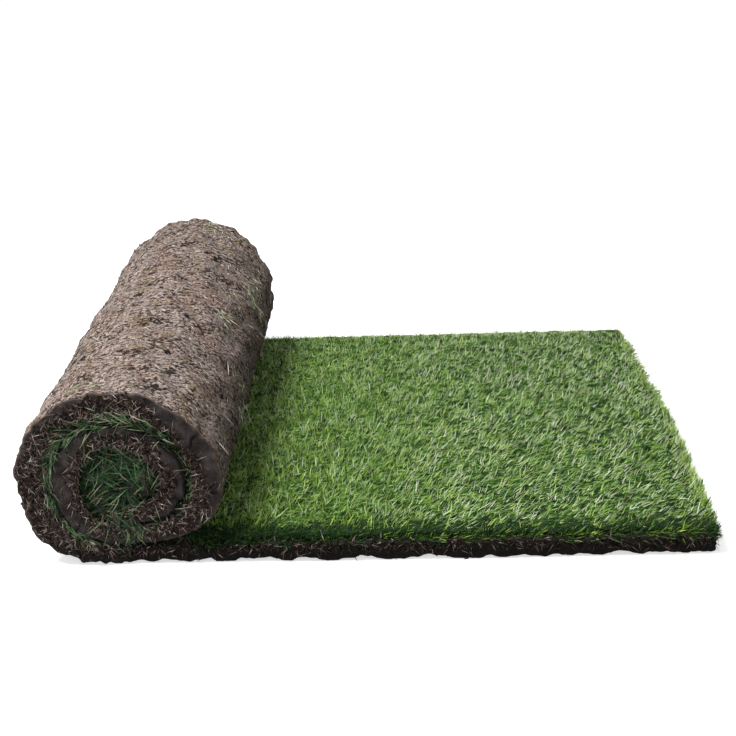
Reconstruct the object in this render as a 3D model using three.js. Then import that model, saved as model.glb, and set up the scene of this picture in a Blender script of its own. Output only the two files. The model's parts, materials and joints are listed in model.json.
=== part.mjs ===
// A strip of lawn turf, grown and cut as one piece, half unrolled: the far end of the strip is
// wound into a roll of about two turns, grass inwards, and the rest lies flat as a tail.
// Millimetres, +Z up. +X runs from the roll towards the tail's cut end, Y runs along the roll.

import * as THREE from "three";

// Driving dimensions.
const turfWidth = 610; // across the strip, so also the roll's length
const turfLength = 1640; // whole strip, measured along the middle of the soil mat
const tailLength = 663; // the flat stretch, from below the roll's middle to the cut end
const matThickness = 22; // soil, roots and thatch
const bulgedMat = 29; // the same mat at the roll's two sides, where the winding loosens it
const lawnHeight = 20; // grass standing on the mat where nothing presses on it
const swardRounding = 10; // of the sward's long edges
const boreRadius = 8; // small hollow that the blades leave along the middle of the roll
const layerGap = 0.4; // between the two layers, and between one turn and the next
const stationSpacing = 12; // along the strip
const acrossSpacing = 24; // across the mat's underside

// The roll sags under its own weight, so each side has its own sizes.
// Flattened grass between two turns.
const packedUnder = 4;
const packedLeft = 10;
const packedOver = 20;
const packedRight = 11;
// From the winding's centre to the mat's grass side, one reach for each side of the core.
const coreUnder = 36;
const coreLeft = 19;
const coreOver = 21;
const coreRight = 33;
// How far the middle of each quarter turn swells beyond an ellipse, as a share of its size.
const swellUnderLeft = 0.08;
const swellOverLeft = -0.02;
const swellOverRight = -0.03;
const swellUnderRight = 0.06;
const farEndRise = 9; // how much taller the roll stands at its far end, where it is wound looser

// Broad lumps on the roll's outside, from just above the floor round to where it faces the tail.
const lumpHeight = 3.5; // above and below the plain winding
const lumpLength = 95; // along the strip, from one lump to the next
const lumpWidth = 125; // across the strip
const lumpsFrom = 0.04; // turns from the roll's lowest point
const lumpsTo = 0.88;
const lumpsFade = 0.07; // turns over which they fade out at both limits

const under = { core: coreUnder, packed: packedUnder, mat: matThickness };
const left = { core: coreLeft, packed: packedLeft, mat: bulgedMat };
const over = { core: coreOver, packed: packedOver, mat: matThickness };
const right = { core: coreRight, packed: packedRight, mat: bulgedMat };

// How far the mat's underside lies from the winding's centre on one side of the roll, where
// turnsLeft is how much of the winding is still to come before the strip's inner end.
function reach(side, turnsLeft) {
  return side.core + side.mat + turnsLeft * (side.mat + side.packed);
}

// The underside's line in the roll, after a number of turns clockwise from the roll's lowest
// point. Each quarter turn is a quarter of an ellipse about the winding's centre, swollen or
// flattened at its middle.
function windingPoint(turns, totalTurns) {
  const quarter = Math.floor(turns * 4);
  const [vertical, verticalEnd] = [[under, 0], [over, 1], [over, 0], [under, 1]][quarter % 4];
  const [level, levelEnd] = [[left, 1], [left, 0], [right, 1], [right, 0]][quarter % 4];
  const height = reach(vertical, totalTurns - (quarter + verticalEnd) / 4);
  const width = reach(level, totalTurns - (quarter + levelEnd) / 4);
  const swell = [swellUnderLeft, swellOverLeft, swellOverRight, swellUnderRight][quarter % 4];
  const angle = 2 * Math.PI * turns;
  const size = 1 + swell * Math.sin(2 * angle) ** 2;
  const growth = 2 * swell * Math.sin(4 * angle);
  const tangent = new THREE.Vector2(
    -width * (size * Math.cos(angle) + growth * Math.sin(angle)),
    height * (size * Math.sin(angle) - growth * Math.cos(angle)),
  ).normalize();
  return {
    underside: new THREE.Vector2(
      -width * size * Math.sin(angle),
      centreHeight(totalTurns) - height * size * Math.cos(angle),
    ),
    inward: new THREE.Vector2(tangent.y, -tangent.x),
    mat: THREE.MathUtils.lerp(matThickness, bulgedMat, Math.sin(angle) ** 2),
    along: turns * outerTurnLength(totalTurns),
    lumpShare: lumpShare(turns),
  };
}

function centreHeight(totalTurns) {
  return reach(under, totalTurns);
}

function outerTurnLength(totalTurns) {
  return 2 * Math.PI * centreHeight(totalTurns);
}

// How much of the lumps' height shows after a number of turns.
function lumpShare(turns) {
  const starting = THREE.MathUtils.smoothstep(turns, lumpsFrom, lumpsFrom + lumpsFade);
  return starting * (1 - THREE.MathUtils.smoothstep(turns, lumpsTo - lumpsFade, lumpsTo));
}

// How far the underside is pushed in at a place on the strip: two waves that bend each other.
function hollow(station, across) {
  const phase = (distance, wavelength) => (2 * Math.PI * distance) / wavelength;
  const lengthwise = Math.sin(phase(station.along, lumpLength) + 2 * Math.sin(phase(across, 2 * lumpWidth)));
  const crosswise = Math.cos(phase(across, lumpWidth) + 2 * Math.sin(phase(station.along, 2 * lumpLength)));
  return -lumpHeight * station.lumpShare * lengthwise * crosswise;
}

// How much the looser far end lifts a point of the roll.
function rise(height, across) {
  return farEndRise * (height / (2 * centre.y)) ** 2 * (across / turfWidth + 1 / 2);
}

// The wound stretch's stations, from the roll's lowest point to the strip's inner end.
function woundStations(totalTurns) {
  const steps = Math.ceil((totalTurns * outerTurnLength(totalTurns)) / stationSpacing);
  return Array.from({ length: steps + 1 }, (_, i) => windingPoint((i / steps) * totalTurns, totalTurns));
}

function middleLength(stations) {
  const middles = stations.map((s) => s.underside.clone().addScaledVector(s.inward, s.mat / 2));
  return middles.slice(1).reduce((sum, p, i) => sum + p.distanceTo(middles[i]), 0);
}

// The number of turns that uses up what the tail leaves of the strip, by halving the range.
function solveTurns() {
  const tooFew = (turns) => middleLength(woundStations(turns)) < turfLength - tailLength;
  let fewest = 0;
  let most = 1;
  while (tooFew(most)) most *= 2;
  for (let i = 0; i < 40; i += 1) {
    const turns = (fewest + most) / 2;
    if (tooFew(turns)) fewest = turns;
    else most = turns;
  }
  return most;
}

const totalTurns = solveTurns();
const centre = new THREE.Vector2(0, centreHeight(totalTurns));

// The flat stretch's stations, from the cut end.
function tailStations() {
  const steps = Math.ceil(tailLength / stationSpacing);
  return Array.from({ length: steps }, (_, i) => ({
    underside: new THREE.Vector2(tailLength * (1 - i / steps), 0),
    inward: new THREE.Vector2(0, 1),
    mat: matThickness,
    along: 0,
    lumpShare: 0,
  }));
}

// How far a ray from a point runs before it meets a stretch of the mat's underside.
function distanceToUnderside(from, direction, stations) {
  let nearest = Infinity;
  for (let i = 1; i < stations.length; i += 1) {
    const a = stations[i - 1].underside;
    const side = stations[i].underside.clone().sub(a);
    const toA = a.clone().sub(from);
    const cross = direction.x * side.y - direction.y * side.x;
    if (Math.abs(cross) < 1e-9) continue;
    const along = (toA.x * side.y - toA.y * side.x) / cross;
    const share = (toA.x * direction.y - toA.y * direction.x) / cross;
    if (along > 0 && share >= 0 && share <= 1) nearest = Math.min(nearest, along);
  }
  return nearest;
}

// Adds to each station where the grass starts, which way it grows and how tall it stands: upright
// on the tail, towards the winding's centre in the roll, and flattened where a turn lies on it.
function addGrass(tail, wound) {
  const stations = [...tail, ...wound];
  for (const [i, station] of stations.entries()) {
    const inTail = i < tail.length;
    station.inRoll = !inTail;
    station.grassRoot = station.underside.clone().addScaledVector(station.inward, station.mat + layerGap);
    const toCentre = centre.clone().sub(station.grassRoot);
    station.growth = inTail ? new THREE.Vector2(0, 1) : toCentre.clone().normalize();
    const tallest = inTail ? lawnHeight : toCentre.length() - boreRadius;
    const room = distanceToUnderside(station.grassRoot, station.growth, wound) - layerGap;
    station.room = Math.min(tallest, room);
  }
  // The lowest of three neighbours, so that no blade's top cuts across the corner of the inner end.
  for (const [i, station] of stations.entries()) {
    const neighbours = stations.slice(Math.max(0, i - 1), i + 2);
    station.grassHeight = Math.min(...neighbours.map((s) => s.room));
  }
  return stations;
}

// One layer of the strip: its cross-section, given as shares of the layer's height over its real
// width, is swept along the stations, and each point is laid where place(station, share, across)
// says. In the roll it is then lifted by what the far end rises.
function layerGeometry(section, stations, place) {
  const steps = stations.length - 1;
  const options = { steps, depth: steps, bevelEnabled: false, curveSegments: 3 };
  const geometry = new THREE.ExtrudeGeometry(section, options);
  const position = geometry.getAttribute("position");
  for (let i = 0; i < position.count; i += 1) {
    const station = stations[Math.round(position.getZ(i))];
    const across = -position.getX(i);
    const spot = place(station, position.getY(i), across);
    position.setXYZ(i, spot.x, across, station.inRoll ? spot.y + rise(spot.y, across) : spot.y);
  }
  geometry.computeVertexNormals();
  return geometry;
}

// The mat's section has points across its underside to carry the lumps. It is drawn with a slight
// arch there, which keeps these points off the straight line between the two corners, and its
// shares are rounded to 0 and 1 when it is laid.
function matSection() {
  const half = turfWidth / 2;
  const drawnArch = 0.1;
  const steps = Math.ceil(turfWidth / acrossSpacing);
  const underside = Array.from({ length: steps + 1 }, (_, i) => {
    const side = (2 * i) / steps - 1;
    return new THREE.Vector2(half * side, drawnArch * (1 - side ** 2));
  });
  return new THREE.Shape([...underside, new THREE.Vector2(half, 1), new THREE.Vector2(-half, 1)]);
}

// The sward's long edges are rounded, because the outermost blades lean out of it.
function grassSection() {
  const half = turfWidth / 2;
  const upright = 1 - swardRounding / lawnHeight;
  const section = new THREE.Shape();
  section.moveTo(-half, 0);
  section.lineTo(half, 0);
  section.lineTo(half, upright);
  section.quadraticCurveTo(half, 1, half - swardRounding, 1);
  section.lineTo(-half + swardRounding, 1);
  section.quadraticCurveTo(-half, 1, -half, upright);
  section.closePath();
  return section;
}

function soilMat(stations) {
  const geometry = layerGeometry(matSection(), stations, (station, share, across) => {
    const depth = Math.round(share) === 1 ? station.mat : hollow(station, across);
    return station.underside.clone().addScaledVector(station.inward, depth);
  });
  const material = new THREE.MeshStandardMaterial({ color: 0x3b2f28, roughness: 1, metalness: 0 });
  const mesh = new THREE.Mesh(geometry, material);
  mesh.name = "soil_mat";
  return mesh;
}

function grass(stations) {
  const geometry = layerGeometry(grassSection(), stations, (station, share) =>
    station.grassRoot.clone().addScaledVector(station.growth, share * station.grassHeight),
  );
  const material = new THREE.MeshStandardMaterial({ color: 0x4f7f3f, roughness: 0.9, metalness: 0 });
  const mesh = new THREE.Mesh(geometry, material);
  mesh.name = "grass";
  return mesh;
}

const stations = addGrass(tailStations(), woundStations(totalTurns));

// The origin is the middle of the bounding box's underside.
const strip = new THREE.Group();
strip.add(soilMat(stations), grass(stations));
const box = new THREE.Box3().setFromObject(strip);
strip.position.set(-(box.min.x + box.max.x) / 2, 0, -box.min.z);

const turfRoll = new THREE.Group();
turfRoll.add(strip);

export default turfRoll;
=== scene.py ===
"""A roll of lawn turf, half unrolled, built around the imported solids.

The soil mat is modelled as a flat strip, and a Geometry Nodes tree winds it up. A second tree
scatters blades, roots, stems and crumbs over it. Metres, +Z up. The roll lies along Y, and the
flat tail runs out towards +X.
"""

import json
import math
from types import SimpleNamespace

import bmesh
import bpy
import numpy as np
from bpy.props import FloatProperty, FloatVectorProperty, IntProperty, PointerProperty
from mathutils import Matrix, Vector, noise

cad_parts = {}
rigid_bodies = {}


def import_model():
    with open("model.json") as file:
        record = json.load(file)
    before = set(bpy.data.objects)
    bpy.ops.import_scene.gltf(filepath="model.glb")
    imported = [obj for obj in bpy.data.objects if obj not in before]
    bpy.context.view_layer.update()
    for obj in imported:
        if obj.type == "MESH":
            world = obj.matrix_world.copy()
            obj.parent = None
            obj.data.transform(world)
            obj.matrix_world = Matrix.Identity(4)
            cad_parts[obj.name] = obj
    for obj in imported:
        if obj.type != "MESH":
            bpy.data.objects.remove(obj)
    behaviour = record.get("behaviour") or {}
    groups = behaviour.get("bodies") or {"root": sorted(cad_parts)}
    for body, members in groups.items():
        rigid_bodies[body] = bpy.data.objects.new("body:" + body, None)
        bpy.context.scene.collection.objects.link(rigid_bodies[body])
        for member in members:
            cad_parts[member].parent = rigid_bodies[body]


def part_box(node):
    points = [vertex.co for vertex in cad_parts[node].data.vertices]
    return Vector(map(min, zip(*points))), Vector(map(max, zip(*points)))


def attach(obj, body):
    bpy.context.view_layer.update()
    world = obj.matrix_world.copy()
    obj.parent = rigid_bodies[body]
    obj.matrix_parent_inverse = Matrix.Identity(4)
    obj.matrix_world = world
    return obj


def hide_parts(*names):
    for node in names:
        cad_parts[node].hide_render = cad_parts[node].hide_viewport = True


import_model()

bl_info = {
    "name": "Turf roll",
    "version": (1, 0, 0),
    "blender": (4, 5, 0),
    "location": "3D Viewport > Sidebar > Turf",
    "description": "Builds a half-unrolled roll of lawn turf: soil, roots, thatch and grass",
    "category": "Add Mesh",
}

# ---------------------------------------------------------------------------------------------
# The strip: a flat tail, then a winding of about two turns, grass inwards. Sizes in metres.

TURF_WIDTH = 0.610
TURF_LENGTH = 1.640  # along the middle of the soil mat
TAIL_LENGTH = 0.663  # from below the roll's middle to the cut end
MAT = 0.022  # soil, roots and thatch
BULGED_MAT = 0.029  # the same mat at the roll's two sides
LAWN = 0.020  # grass standing free above the mat
BORE_RADIUS = 0.008  # hollow along the middle of the roll
LAYER_GAP = 0.0004
STATION_SPACING = 0.012  # of the solid's own stations, which the turn count depends on
FAR_END_RISE = 0.009  # how much taller the roll stands at its far end, where it is wound looser

# For each side of the roll: from the winding's centre to the mat's grass side, the flattened
# grass between two turns, and the mat's thickness there.
SIDES = {
    "under": (0.036, 0.004, MAT),
    "left": (0.019, 0.010, BULGED_MAT),
    "over": (0.021, 0.020, MAT),
    "right": (0.033, 0.011, BULGED_MAT),
}
# Each quarter turn, clockwise from the lowest point: its upright and its level reach, at which
# end of the quarter each of them is measured, and how far its middle swells beyond an ellipse.
QUARTERS = (
    ("under", 0, "left", 1, 0.08),
    ("over", 1, "left", 0, -0.02),
    ("over", 0, "right", 1, -0.03),
    ("under", 1, "right", 0, 0.06),
)

# Broad lumps on the roll's outside: their spacing along the strip and across it, and the turns
# between which they show.
LUMP_LENGTH, LUMP_WIDTH = 0.095, 0.125
LUMPS_FROM, LUMPS_TO, LUMPS_FADE = 0.04, 0.88, 0.07

LINE_STEPS = 4000  # of the table that the strip's line is read from
ROOM_STEPS = 12  # how many of them make one side when the room for the grass is measured


def smooth(low, high, value):
    """A smooth step from 0 at low to 1 at high, which falls instead where high is below low."""
    share = np.clip((value - low) / (high - low), 0, 1)
    return share * share * (3 - 2 * share)


def reach(side, turns_left):
    """How far the mat's underside lies from the winding's centre on one side of the roll."""
    core, packed, mat = SIDES[side]
    return core + mat + turns_left * (mat + packed)


def winding(turns, total):
    """The underside's (X, Z) line after so many turns, the inward normals and the mat there."""
    quarter = np.floor(turns * 4).astype(int)
    height, width, swell = (np.empty_like(turns) for _ in range(3))
    for place, (upright, upright_end, level, level_end, swelling) in enumerate(QUARTERS):
        here = quarter % 4 == place
        height[here] = reach(upright, total - (quarter[here] + upright_end) / 4)
        width[here] = reach(level, total - (quarter[here] + level_end) / 4)
        swell[here] = swelling
    angle = math.tau * turns
    sine, cosine = np.sin(angle), np.cos(angle)
    size, growth = 1 + swell * np.sin(2 * angle) ** 2, 2 * swell * np.sin(4 * angle)
    heading = np.stack(
        [-width * (size * cosine + growth * sine), height * (size * sine - growth * cosine)], 1
    )
    heading /= np.linalg.norm(heading, axis=1, keepdims=True)
    spot = np.stack([-width * size * sine, reach("under", total) - height * size * cosine], 1)
    inward = np.stack([heading[:, 1], -heading[:, 0]], 1)
    return spot, inward, MAT + (BULGED_MAT - MAT) * sine**2


def lengths(points):
    """How far each point lies from the one before."""
    return np.linalg.norm(np.diff(points, axis=0), axis=1)


def solve_turns():
    """The number of turns that uses up what the tail leaves of the strip."""
    fewest, most = 1.0, 4.0
    for _ in range(40):
        total = (fewest + most) / 2
        steps = math.ceil(total * math.tau * reach("under", total) / STATION_SPACING)
        spot, inward, mat = winding(np.arange(steps + 1) / steps * total, total)
        if lengths(spot + inward * mat[:, None] / 2).sum() < TURF_LENGTH - TAIL_LENGTH:
            fewest = total
        else:
            most = total
    return most


TOTAL_TURNS = solve_turns()
ROLL_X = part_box("soil_mat")[1].x - TAIL_LENGTH  # where the winding's lowest point stands
CENTRE = np.array([ROLL_X, reach("under", TOTAL_TURNS)])
OUTER_TURN = math.tau * CENTRE[1]
HALF = TURF_WIDTH / 2


def turf_line():
    """The whole strip from the tail's cut end to the inner end, as a fine table."""
    turns = np.linspace(0, TOTAL_TURNS, LINE_STEPS + 1)
    spot, inward, mat = winding(turns, TOTAL_TURNS)
    spot[:, 0] += ROLL_X
    along = TAIL_LENGTH + np.concatenate([[0], np.cumsum(lengths(spot))])
    return SimpleNamespace(
        along=np.concatenate([[0], along]),
        spot=np.vstack([[ROLL_X + TAIL_LENGTH, 0], spot]),
        inward=np.vstack([[0, 1], inward]),
        mat=np.concatenate([[MAT], mat]),
        turn=np.concatenate([[0], turns]),
    )


LINE = turf_line()
STRIP_END = LINE.along[-1]


def stations(along):
    """The strip's line at the given lengths along its underside from the cut end."""
    read = lambda column: np.interp(along, LINE.along, column)
    inward = np.stack([read(LINE.inward[:, 0]), read(LINE.inward[:, 1])], 1)
    inward /= np.linalg.norm(inward, axis=1, keepdims=True)
    return SimpleNamespace(
        along=along,
        spot=np.stack([read(LINE.spot[:, 0]), read(LINE.spot[:, 1])], 1),
        inward=inward,
        heading=np.stack([-inward[:, 1], inward[:, 0]], 1),
        mat=read(LINE.mat),
        turn=read(LINE.turn),
        in_roll=along >= TAIL_LENGTH,
    )


def along_at(turn):
    """How far from the cut end the strip has wound so many turns."""
    return float(np.interp(turn, LINE.turn[1:], LINE.along[1:]))


def room_above(roots, growth):
    """How far each ray from a grass root runs before it meets the wound underside."""
    line = LINE.spot[1::ROOM_STEPS]
    start, side = line[:-1], np.diff(line, axis=0)
    cross = growth[:, :1] * side[:, 1] - growth[:, 1:] * side[:, 0]
    cross = np.where(np.abs(cross) < 1e-9, 1e-9, cross)
    to_x, to_z = start[:, 0] - roots[:, :1], start[:, 1] - roots[:, 1:]
    far = (to_x * side[:, 1] - to_z * side[:, 0]) / cross
    share = (to_x * growth[:, 1:] - to_z * growth[:, :1]) / cross
    return np.where((far > 0) & (share >= 0) & (share <= 1), far, np.inf).min(1)


def grass_room(line):
    """Where the grass starts at each station, its growth direction and how tall it can stand."""
    root = line.spot + line.inward * (line.mat + LAYER_GAP)[:, None]
    to_centre = CENTRE - root
    distance = np.linalg.norm(to_centre, axis=1)
    growth = np.where(line.in_roll[:, None], to_centre / distance[:, None], [0.0, 1.0])
    tallest = np.where(line.in_roll, distance - BORE_RADIUS, LAWN)
    room = np.minimum(tallest, room_above(root, growth) - LAYER_GAP)
    return root, growth, np.maximum(room, 0.001)


def lumps(line, across):
    """The broad lumps, from -1 in a hollow to 1: two waves that bend each other."""
    phase = lambda distance, wavelength: math.tau * distance / wavelength
    along = line.turn * OUTER_TURN
    lengthwise = np.sin(phase(along, LUMP_LENGTH) + 2 * np.sin(phase(across, 2 * LUMP_WIDTH)))
    crosswise = np.cos(phase(across, LUMP_WIDTH) + 2 * np.sin(phase(along, 2 * LUMP_LENGTH)))
    starting = smooth(LUMPS_FROM, LUMPS_FROM + LUMPS_FADE, line.turn)
    ending = smooth(LUMPS_TO, LUMPS_TO - LUMPS_FADE, line.turn)
    return lengthwise * crosswise * starting * ending * line.in_roll


# ---------------------------------------------------------------------------------------------
# Helpers.


def linear(hex_colour):
    """An sRGB hex colour as the linear RGBA that the shader sockets take."""
    srgb = [int(hex_colour[i : i + 2], 16) / 255 for i in (1, 3, 5)]
    return (*(c / 12.92 if c <= 0.04045 else ((c + 0.055) / 1.055) ** 2.4 for c in srgb), 1.0)


def add(tree, kind, inputs=None, stops=(), **settings):
    """Adds a node with its settings, colour stops, inputs and links, and gives its outputs."""
    node = tree.nodes.new(kind)
    for name, value in settings.items():
        setattr(node, name, value)
    for i, (place, colour) in enumerate(stops):
        elements = node.color_ramp.elements
        element = elements[i] if i < 2 else elements.new(place)
        element.position = place
        element.color = linear(colour) if isinstance(colour, str) else colour
    for socket, value in (inputs or {}).items():
        if isinstance(value, bpy.types.NodeSocket):
            tree.links.new(value, node.inputs[socket])
        else:
            node.inputs[socket].default_value = value
    return node.outputs


def new_tree(name, inputs, output):
    """An empty Geometry Nodes tree with named inputs, and the outputs of its input node."""
    tree = bpy.data.node_groups.new(name, "GeometryNodeTree")
    for label, kind in inputs:
        tree.interface.new_socket(label, in_out="INPUT", socket_type=f"NodeSocket{kind}")
    tree.interface.new_socket(output, in_out="OUTPUT", socket_type="NodeSocketGeometry")
    return tree, add(tree, "NodeGroupInput")


def run_tree(tree, name, mesh, values):
    """Runs a tree over a mesh, with its inputs set by their names, and gives a plain mesh."""
    host = link(mesh, name)
    modifier = host.modifiers.new(name, "NODES")
    modifier.node_group = tree
    for item in tree.interface.items_tree:
        if item.name in values:
            modifier[item.identifier] = values[item.name]
    evaluated = host.evaluated_get(bpy.context.evaluated_depsgraph_get())
    made = bpy.data.meshes.new_from_object(evaluated)
    host.modifiers.remove(modifier)
    bpy.data.objects.remove(host)
    return made


def grain(places, size, octaves=3):
    """Fractal noise of about -1 to 1 at each place, with lumps of the given size in metres.

    Where two patterns must not agree, one of them reads it some metres away.
    """
    return np.array([noise.fractal(p, 1.0, 2.0, octaves) for p in (places / size).tolist()])


def upright(vectors, across=0.0):
    """(X, Z) vectors in the strip's side view as (X, Y, Z)."""
    return np.stack([vectors[:, 0], np.zeros(len(vectors)) + across, vectors[:, 1]], 1)


def risen(points, in_roll):
    """Points of the roll, lifted by what its looser far end rises."""
    share = (points[:, 2] / (2 * CENTRE[1])) ** 2 * (points[:, 1] / TURF_WIDTH + 0.5)
    return points + np.outer(FAR_END_RISE * share * in_roll, (0, 0, 1))


def link(data, name):
    """Puts mesh, lamp, camera or curve data in the scene as an object."""
    piece = bpy.data.objects.new(name, data)
    bpy.context.scene.collection.objects.link(piece)
    return piece


def write_attributes(mesh, columns):
    """Stores a number or a vector for each vertex under each name."""
    for name, values in columns.items():
        kind, field = ("FLOAT", "value") if values.ndim == 1 else ("FLOAT_VECTOR", "vector")
        layer = mesh.attributes.new(name, kind, "POINT")
        layer.data.foreach_set(field, values.astype(np.float32).ravel())


def declare(piece, node):
    """Hangs the piece on the root body and hides the solid that it stands for."""
    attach(piece, "root")
    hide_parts(node)


def strip_grid(across_steps, depth_steps, coarse, fine_under, fine_over):
    """A closed strip: vertices given as shares along, across and up, and its faces.

    The ring of points round each station is whole on a fine side. A side that isn't fine keeps
    one column in `coarse`, and the faces between a fine and a coarse station take in the extra
    points, so that the mesh stays closed.
    """
    a, d, count = across_steps, depth_steps, len(fine_under)
    walk, climb = np.arange(a), np.arange(d)
    across = np.concatenate([0 * climb, walk, 0 * climb + a, a - walk])
    depth = np.concatenate([climb, 0 * walk + d, d - climb, 0 * walk])
    sparse = (across % coarse == 0) | (across == a)
    sides = zip(fine_under, fine_over)
    kept = [sparse | ((depth == 0) & under) | ((depth == d) & over) for under, over in sides]
    index = np.full((count, len(across)), -1)
    rows, total = [], 0
    for i, columns in enumerate(kept):
        here = np.flatnonzero(columns)
        index[i, here] = total + np.arange(len(here))
        total += len(here)
        rows.append(np.stack([np.full(len(here), i), across[here], depth[here]], 1))
    faces = []
    for i, (one, other) in enumerate(zip(index, index[1:])):
        shared = np.flatnonzero(kept[i] & kept[i + 1])
        following = np.roll(shared, -1)
        if (kept[i] == kept[i + 1]).all():
            quads = [one[shared], one[following], other[following], other[shared]]
            faces += np.stack(quads, 1).tolist()
            continue
        for first, last in zip(shared, following):
            stop = last + 1 if last > first else len(across) + last + 1
            span = np.arange(first, stop) % len(across)
            lower = [int(one[c]) for c in span if one[c] >= 0]
            higher = [int(other[c]) for c in span if other[c] >= 0]
            faces.append(lower + higher[::-1])
    # Each end is a grid of its own between the ring's points.
    for i in (0, count - 1):
        ring = zip(across, depth, index[i])
        spots = {(x, z): vertex for x, z, vertex in ring if vertex >= 0}
        places = sorted({x for x, z in spots if z == 0})
        for x in places[1:-1]:
            for z in range(1, d):
                spots[x, z] = total
                total += 1
                rows.append(np.array([[i, x, z]]))
        for x0, x1 in zip(places, places[1:]):
            for z in range(d):
                corners = ((x0, z), (x1, z), (x1, z + 1), (x0, z + 1))
                faces.append([int(spots[c]) for c in corners])
    rows = np.vstack(rows)
    return rows[:, 0], rows[:, 1] / a, rows[:, 2] / d, faces


def closed_mesh(name, points, faces):
    """A smooth mesh from points and faces, with its faces turned outwards."""
    mesh = bpy.data.meshes.new(name)
    mesh.from_pydata(points.tolist(), [], faces)
    work = bmesh.new()
    work.from_mesh(mesh)
    bmesh.ops.recalc_face_normals(work, faces=work.faces)
    work.to_mesh(mesh)
    work.free()
    mesh.polygons.foreach_set("use_smooth", [True] * len(mesh.polygons))
    return mesh


# ---------------------------------------------------------------------------------------------
# Settings.


class TURF_PG_soil(bpy.types.PropertyGroup):
    """The soil mat, the roots on its underside and the thatch on its cut edges."""

    lump_height: FloatProperty(
        name="Lump height", description="How far the broad lumps stand out",
        default=0.0035, unit="LENGTH",
    )
    crumb_height: FloatProperty(
        name="Crumb height", description="Relief of the torn thatch on the cut edges",
        default=0.0036, unit="LENGTH",
    )
    root_density: FloatProperty(
        name="Roots per square metre", description="Loose root ends on the roll's outside",
        default=26000,
    )
    root_length: FloatProperty(
        name="Root length", description="Longest root end", default=0.016, unit="LENGTH"
    )
    stem_density: FloatProperty(
        name="Stems per square metre", description="Dead stems on the cut edges", default=115000
    )
    stem_length: FloatProperty(
        name="Stem length", description="Longest dead stem", default=0.015, unit="LENGTH"
    )
    crumb_density: FloatProperty(
        name="Crumbs per square metre", description="Loose crumbs on the cut edges", default=62000
    )
    skin_colour: FloatVectorProperty(
        name="Root mat", description="Colour of the smeared soil on the roll's outside",
        default=linear("#988983"), subtype="COLOR", size=4, min=0, max=1,
    )
    soil_colour: FloatVectorProperty(
        name="Cut soil", description="Colour of smoothly cut soil",
        default=linear("#332e2d"), subtype="COLOR", size=4, min=0, max=1,
    )


class TURF_PG_grass(bpy.types.PropertyGroup):
    """The blades, on the tail and in the roll."""

    density: FloatProperty(
        name="Blades per square metre", description="On the tail", default=325000
    )
    length: FloatProperty(
        name="Blade length", description="Longest blade on the tail", default=0.022, unit="LENGTH"
    )
    wound_density: FloatProperty(
        name="Wound blades per square metre", description="At the roll's two ends", default=190000
    )
    wound_length: FloatProperty(
        name="Wound blade length", description="Longest blade in the roll",
        default=0.038, unit="LENGTH",
    )
    spread: FloatProperty(
        name="Spread", description="How far blades stray from their lean", default=0.72
    )
    overhang: FloatProperty(
        name="Overhang", description="The most that strands reach past the strip's own edges",
        default=0.013, unit="LENGTH",
    )
    seed: IntProperty(name="Seed", description="Start of every random draw", default=3)


class TURF_PG_stage(bpy.types.PropertyGroup):
    """Floor, lamps and camera."""

    lens: FloatProperty(name="Lens", description="Focal length", default=62.2, unit="CAMERA")
    key_power: FloatProperty(
        name="Key power", description="Power of the large lamp", default=77.0, unit="POWER"
    )
    fill: FloatProperty(
        name="Fill", description="Strength of the surrounding light", default=0.47
    )


# ---------------------------------------------------------------------------------------------
# Finishes.

STREAK_TURN = math.radians(24)  # how far the combed roots run off the strip's own length
LEAN_TURN = math.radians(-14)  # the same for the sward's common lean
LEAF_MAP = "OFBake"  # across: the strand's tint; up: from its foot to its tip


def new_material(name):
    """An empty material and its tree."""
    material = bpy.data.materials.new(name)
    material.use_nodes = True
    material.node_tree.nodes.clear()
    return material, material.node_tree


def lay_over(tree, colour, *layers):
    """Lays colours over a base, each at its full share where its pattern gets from low to high."""
    for pattern, low, high, share, over in layers:
        reading = {"Value": pattern, "From Min": low, "From Max": high, "To Max": share}
        cover = add(tree, "ShaderNodeMapRange", reading, interpolation_type="SMOOTHSTEP")[0]
        # A colour mix has its factor in socket 0 and its two colours in 6 and 7.
        laid = {0: cover, 6: colour, 7: linear(over) if isinstance(over, str) else over}
        colour = add(tree, "ShaderNodeMix", laid, data_type="RGBA")[2]
    return colour


def finish(tree, colour, height=None, depth=0.001, **sockets):
    """Ends a material with its shader, and with relief of a real depth where it has a height."""
    shader = {name.replace("_", " "): value for name, value in sockets.items()}
    if height is not None:
        shader["Normal"] = add(tree, "ShaderNodeBump", {"Height": height, "Distance": depth})[0]
    surface = add(tree, "ShaderNodeBsdfPrincipled", {"Base Color": colour, **shader})[0]
    add(tree, "ShaderNodeOutputMaterial", {"Surface": surface})


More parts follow.
